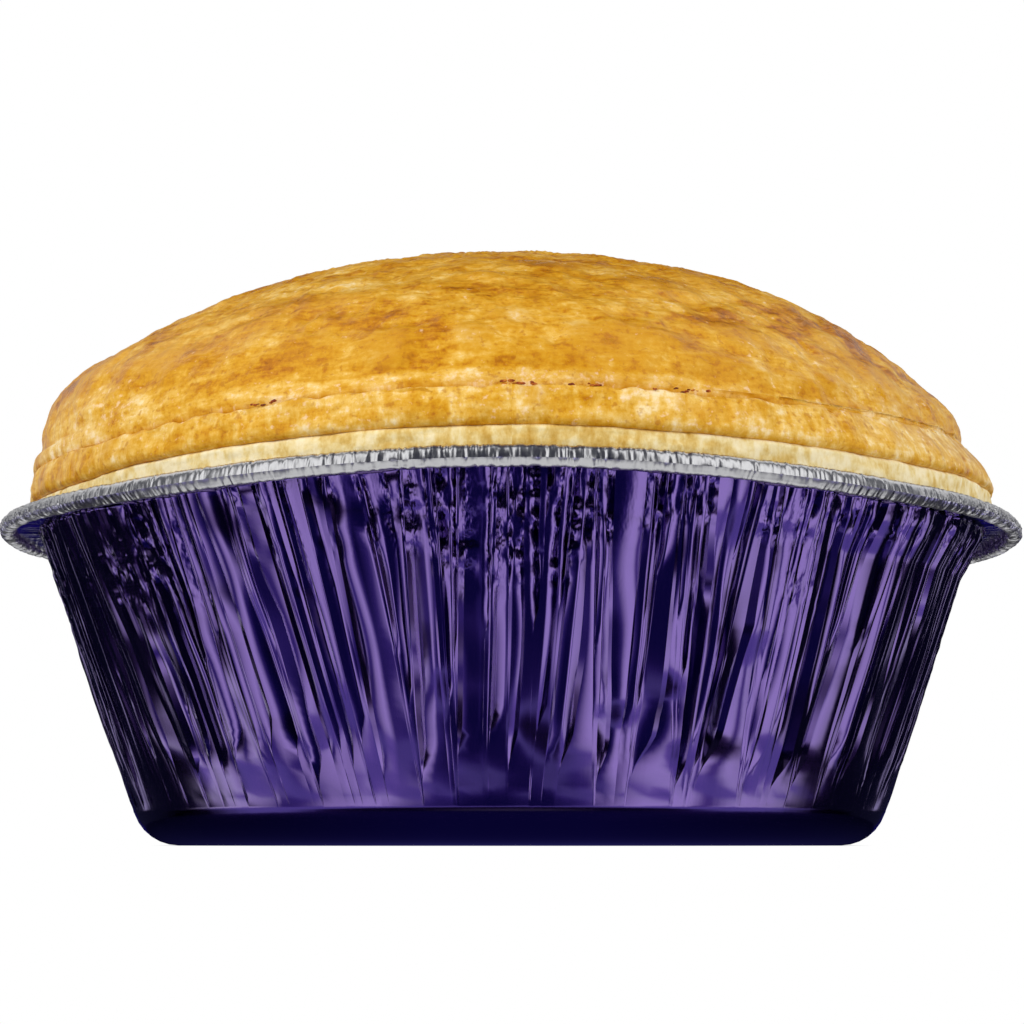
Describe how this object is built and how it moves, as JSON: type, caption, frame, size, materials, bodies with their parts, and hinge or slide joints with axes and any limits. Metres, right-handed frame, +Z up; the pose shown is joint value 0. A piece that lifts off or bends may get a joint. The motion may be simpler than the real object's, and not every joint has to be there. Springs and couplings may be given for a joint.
{
  "type": "steak pie",
  "caption": "Individual steak pie in its own round crinkled foil tin, with a pale shortcrust edge under a domed golden puff pastry lid.",
  "frame": {"origin": "middle of the tin's flat base, on the surface that the pie stands on", "axes": "+Z up through the crown of the lid; -Y is the pie's front; +X is its right side as seen from the front"},
  "size_m": [0.12, 0.12, 0.0695],
  "materials": {
    "lacquered_foil": "glossy clear purple lacquer over the outside of thin crinkled aluminium foil",
    "bare_foil": "bare silver inside face of the foil, turned outwards on the rolled rim, finely crimped",
    "shortcrust": "pale baked shortcrust pastry, matte and floury",
    "puff_pastry": "golden baked puff pastry with an egg glaze, flaky, blistered and browned unevenly"
  },
  "bodies": {
    "root": {"foil_tin": "lacquered_foil", "pastry_case": "shortcrust", "pastry_lid": "puff_pastry"}
  },
  "joints": []
}
